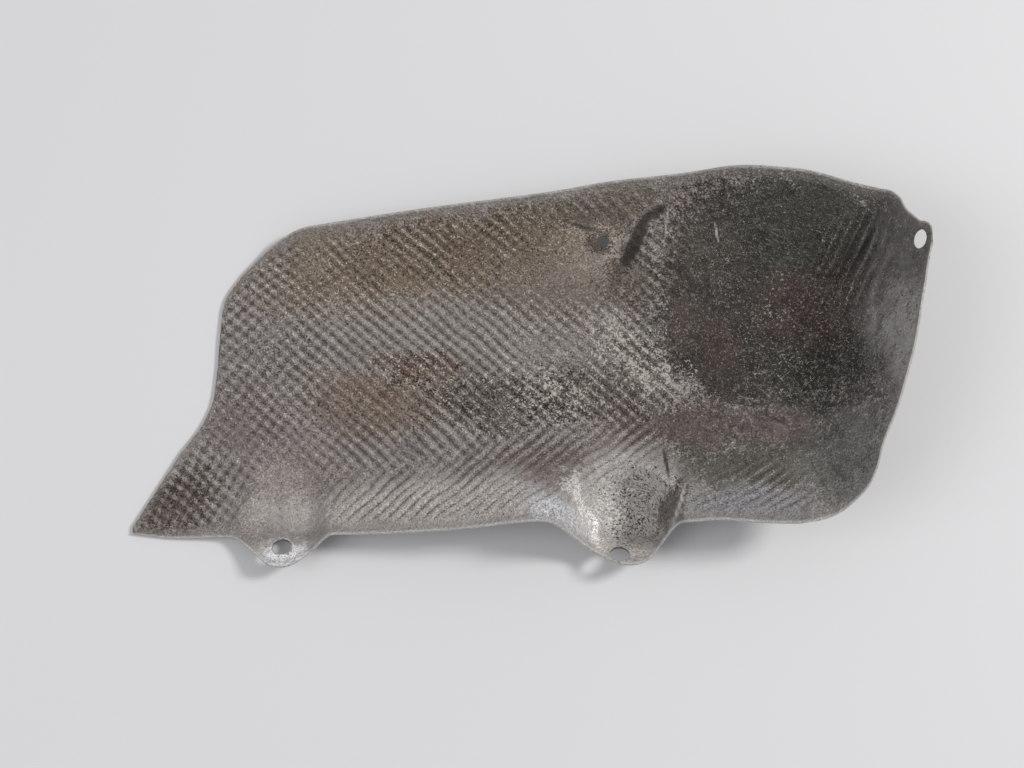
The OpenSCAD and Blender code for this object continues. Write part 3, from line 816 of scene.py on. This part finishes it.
def oval(x, y, half_length, half_width, turn, colour, strength):
    """A mask with one soft oval: as high as its strength in the middle, and 0 outside."""
    c, s = np.cos(radians(turn)), np.sin(radians(turn))
    stretch_x = float(np.hypot(c / half_length, s / half_width))
    stretch_y = 1 / (half_length * half_width * stretch_x)
    lean = float(c * s * (1 / half_length**2 - 1 / half_width**2) / stretch_x)
    middle = (-(stretch_x * x + lean * y), -stretch_y * y, 0)
    if turn:
        middle = aged.vector("MULTIPLY_ADD", only_y, (lean, 0, 0), middle)
    local = aged.vector("MULTIPLY_ADD", ragged_place, (stretch_x, stretch_y, 0), middle)
    away = aged.node("ShaderNodeVectorMath", {"operation": "LENGTH"}, {0: local}, 1)
    return aged.between(away + raggedness, OVAL_ENDS, OVAL_IS_FULL, strength)


def ovals(table):
    """A mask that adds up all ovals of a table, for tables that have no colours."""
    total = 0
    for row in table:
        total = oval(*row) + total
    return total


print("nodes so far:", len(aged.tree.nodes))

# %% [markdown]
# ## Aged aluminium: colour
# The colour is built in layers: first grey metal with a slow change of tone, then the
# stains one over another, then the grain, which makes the colour lighter and darker from one
# half millimetre to the next. The deepest dimples and the creases are darkened with dirt and
# painted shade, and the crests of the dimples are lightened with a painted highlight. Dark pits
# and bright flakes, which are partly painted glints, are two noises, each cut off hard at a level
# that is lower where there are more of them. A slower noise crowds both, and in the soot a
# curled noise leaves short pale dashes.

# %% Lay the stains
DARK_GREY, LIGHT_GREY = shade(124, 117, 114), shade(150, 143, 139)
tone = noise(0.12, 4, 0.65)
plain_grey = aged.mix(aged.between(tone, 0.35, 0.65), DARK_GREY, LIGHT_GREY)
colour, clean = plain_grey, 0
# The last ovals are bare metal with painted highlights, on the left ear and on the lug's fold and left
# wall.
for stain in STAINS + BARE_METAL_AND_HIGHLIGHTS:
    cover = oval(*stain)
    colour = aged.mix(cover, colour, shade(*stain[5]))
    if stain in BARE_METAL_AND_HIGHLIGHTS:
        clean = cover + clean
colour = aged.mix(open_side, plain_grey, colour)
clean = clean * open_side
print("nodes with stains:", len(aged.tree.nodes))

# %% Add the grain and what the dimples keep
VALLEY_DIRT_AND_SHADE, CREST_HIGHLIGHT = shade(60, 51, 46), shade(206, 199, 191)
soot = ovals(SOOTY) * open_side
flaked_and_glinting = ovals(FLAKED_AND_GLINTING) * open_side
pitted = ovals(PITTED) * open_side
calm = ovals(CALM)
coarse = 0.9 - soot * 0.1 - clean * 0.05 - seat_share * 0.05 - calm * 0.4
coarse = coarse * (0.55 + open_side * 0.45)
colour = aged.scaled(colour, 1.1 - coarse * 0.5 + grain * coarse)
colour = aged.scaled(colour, 0.84 + mottle * 0.32)
colour = aged.scaled(colour, 1 + (tone - 0.53) * soot * 2.4)
# The deepest dimples are darkened: dirt, and painted shade in their hollows.
valley_dirt_and_shade = aged.between(dimple, 0.38, 0.08)
colour = aged.mix(valley_dirt_and_shade * 0.62, colour, VALLEY_DIRT_AND_SHADE)
# The crests of the dimples are lightened: a painted highlight.
crest_highlight = aged.between(dimple, 0.66, 0.92)
colour = aged.mix(crest_highlight * (0.3 - soot * 0.18), colour, CREST_HIGHLIGHT)
print("nodes with the grain:", len(aged.tree.nodes))

# %% Add the pits, the flakes and the wear
PIT, FLAKE_AND_GLINT, CURL = shade(40, 35, 31), shade(222, 217, 208), shade(152, 150, 140)
CREASE_DIRT_AND_SHADE, SCRATCH_AND_HIGHLIGHT = shade(46, 39, 35), shade(214, 210, 202)
WORN_RIM, BARE_RIM = shade(150, 144, 139), shade(222, 219, 215)
crowd = (aged.between(noise(0.13, 3, 0.7, 171), 0.36, 0.64) - 0.6) * 0.09
pit_level = noise(0.85, 3, 0.75, 57) + (pitted * 0.085 - crest_highlight * 0.03) + pitted * crowd
pits = aged.between(pit_level, 0.63, 0.66)
colour = aged.mix(pits * 0.9, colour, PIT)
# Bright flakes, partly painted glints, which crowd on the dimple crests.
flake_and_glint_level = noise(0.85, 3, 0.8, 91) + (flaked_and_glinting * 0.09 + crest_highlight * 0.06) - flaked_and_glinting * crowd
flakes_and_glints = aged.between(flake_and_glint_level, 0.65, 0.68)
colour = aged.mix(flakes_and_glints * (0.85 - soot * 0.2), colour, FLAKE_AND_GLINT)
curls = aged.between(noise(0.9, 2, 0.6, 133, curl=1.5), 0.57, 0.61) * soot * mottle
colour = aged.mix(curls * 0.9, colour, CURL)
# The creases are darkened: dirt and painted shade.
colour = aged.mix(aged.between(marks, -0.15, -0.9) * 0.85, colour, CREASE_DIRT_AND_SHADE)
# The scratch and the painted highlights on two fold crests are lightened.
colour = aged.mix(aged.between(marks, 0.15, 0.8) * 0.8, colour, SCRATCH_AND_HIGHLIGHT)
colour = aged.mix(aged.between(rim, 0.1, 0.7) * 0.4, colour, WORN_RIM)
colour = aged.mix(aged.between(rim, 0.78, 0.98) * (0.45 + mottle * 0.2), colour, BARE_RIM)
print("nodes with colour:", len(aged.tree.nodes))

# %% [markdown]
# ## Aged aluminium: gloss and grain
# Bare metal reflects, and dust doesn't, so Metallic and Roughness follow the same masks as the
# colour. The grain is too fine for the mesh and goes in as a bump.

# %% Finish the aged aluminium
metallic = 0.22 + clean * 0.25 + flakes_and_glints * 0.35 - soot * 0.1
roughness = 0.6 - clean * 0.16 + pits * 0.25 - flakes_and_glints * 0.15 + (mottle - 0.5) * 0.2
height = (grain + mottle * 1.2 + noise(0.65, 3, 0.7, 71) * 3) * (1 - seat_share * 0.45)
bump = aged.node("ShaderNodeBump", {}, {"Height": height, "Strength": 1.0, "Distance": 0.00045})
principled = {"Base Color": colour, "Metallic": metallic, "Roughness": roughness, "Normal": bump}
aged.output(aged.node("ShaderNodeBsdfPrincipled", {}, principled))
print("nodes in the finish:", len(aged.tree.nodes))

# %% [markdown]
# ## Bare cut edge
# Where the sheet was cut, its edge is bare metal with the drag lines of the tool. It could share
# the aged finish, but it shows in the photograph as a thin bright line, so it gets a slot of its own.
# The edge takes the aged finish in two places: in the small hole in the pad, where it is dark with dirt
# and painted shade, and along the right-hand wall, where dirt covers it.

# %% Make the bare cut edge
bare = Finish("bare_cut_edge")
bare_place = bare.node("ShaderNodeTexCoord", output=3)
streaks = bare.node("ShaderNodeTexNoise", {}, {"Vector": bare_place, "Scale": 900, "Detail": 3})
bare_colour = bare.mix(bare.between(streaks, 0.3, 0.7), shade(156, 154, 152), shade(204, 203, 202))
bare_roughness = 0.34 + streaks * 0.2
bare_sockets = {"Base Color": bare_colour, "Metallic": 0.6, "Roughness": bare_roughness}
bare.output(bare.node("ShaderNodeBsdfPrincipled", {}, bare_sockets))
print("nodes in the cut edge:", len(bare.tree.nodes))

# %% Give each face its finish
DIRTY_EDGE_FROM = 150.0
centres = points.reshape(-1, 3)[corners].reshape(-1, 3, 3).mean(axis=1) * 1000
in_pad_hole = np.hypot(centres[:, 0] - upper_pad[0], centres[:, 1] - upper_pad[1]) < PAD_HOLE
bare_faces = edge_faces & ~in_pad_hole & (centres[:, 0] < DIRTY_EDGE_FROM)
sheet.data.materials.clear()
sheet.data.materials.append(aged.material)
sheet.data.materials.append(bare.material)
sheet.data.polygons.foreach_set("material_index", bare_faces.astype(np.int32))
print("faces of bare cut edge:", int(bare_faces.sum()))

# %% [markdown]
# ## Floor and light
# The photograph was taken on a pale surface in soft daylight that comes mostly from the right.
# A large area lamp there gives the soft shading inside the dimples, and a pale world fills
# the shadows. The floor is a plain matt sheet, pale through its own colour and not by extra light.

# %% Make the floor
floor_material = bpy.data.materials.new("pale_floor")
floor_material.use_nodes = True
floor_shader = floor_material.node_tree.nodes["Principled BSDF"]
floor_shader.inputs["Base Color"].default_value = (0.68, 0.675, 0.685, 1)
floor_shader.inputs["Roughness"].default_value = 0.75
floor_mesh = bpy.data.meshes.new("floor")
floor_mesh.from_pydata([(-3, -3, 0), (3, -3, 0), (3, 3, 0), (-3, 3, 0)], [], [(0, 1, 2, 3)])
floor = bpy.data.objects.new("floor", floor_mesh)
floor.data.materials.append(floor_material)
floor.location.z = -0.0002
bpy.context.scene.collection.objects.link(floor)
print("floor lies at", round(floor.location.z * 1000, 2), "mm")

# %% Hang the lamps
def soft_lamp(name, place, size, watts, colour=(1, 1, 1)):
    data = bpy.data.lights.new(name, "AREA")
    data.shape, data.size, data.energy, data.color = "SQUARE", size, watts, colour
    lamp = bpy.data.objects.new(name, data)
    lamp.location = place
    lamp.rotation_euler = (Vector((0, 0, 0)) - Vector(place)).to_track_quat("-Z", "Y").to_euler()
    bpy.context.scene.collection.objects.link(lamp)
    return lamp


soft_lamp("window", (1.55, 0.42, 1.5), 0.45, 30, (1, 0.99, 0.97))
soft_lamp("fill", (-1.4, -0.4, 1.4), 1.2, 12, (0.96, 0.98, 1))
world = bpy.data.worlds.new("studio")
world.use_nodes = True
world.node_tree.nodes["Background"].inputs["Color"].default_value = (0.93, 0.94, 0.96, 1)
world.node_tree.nodes["Background"].inputs["Strength"].default_value = 0.46
bpy.context.scene.world = world
bpy.context.scene.view_settings.view_transform = "Standard"
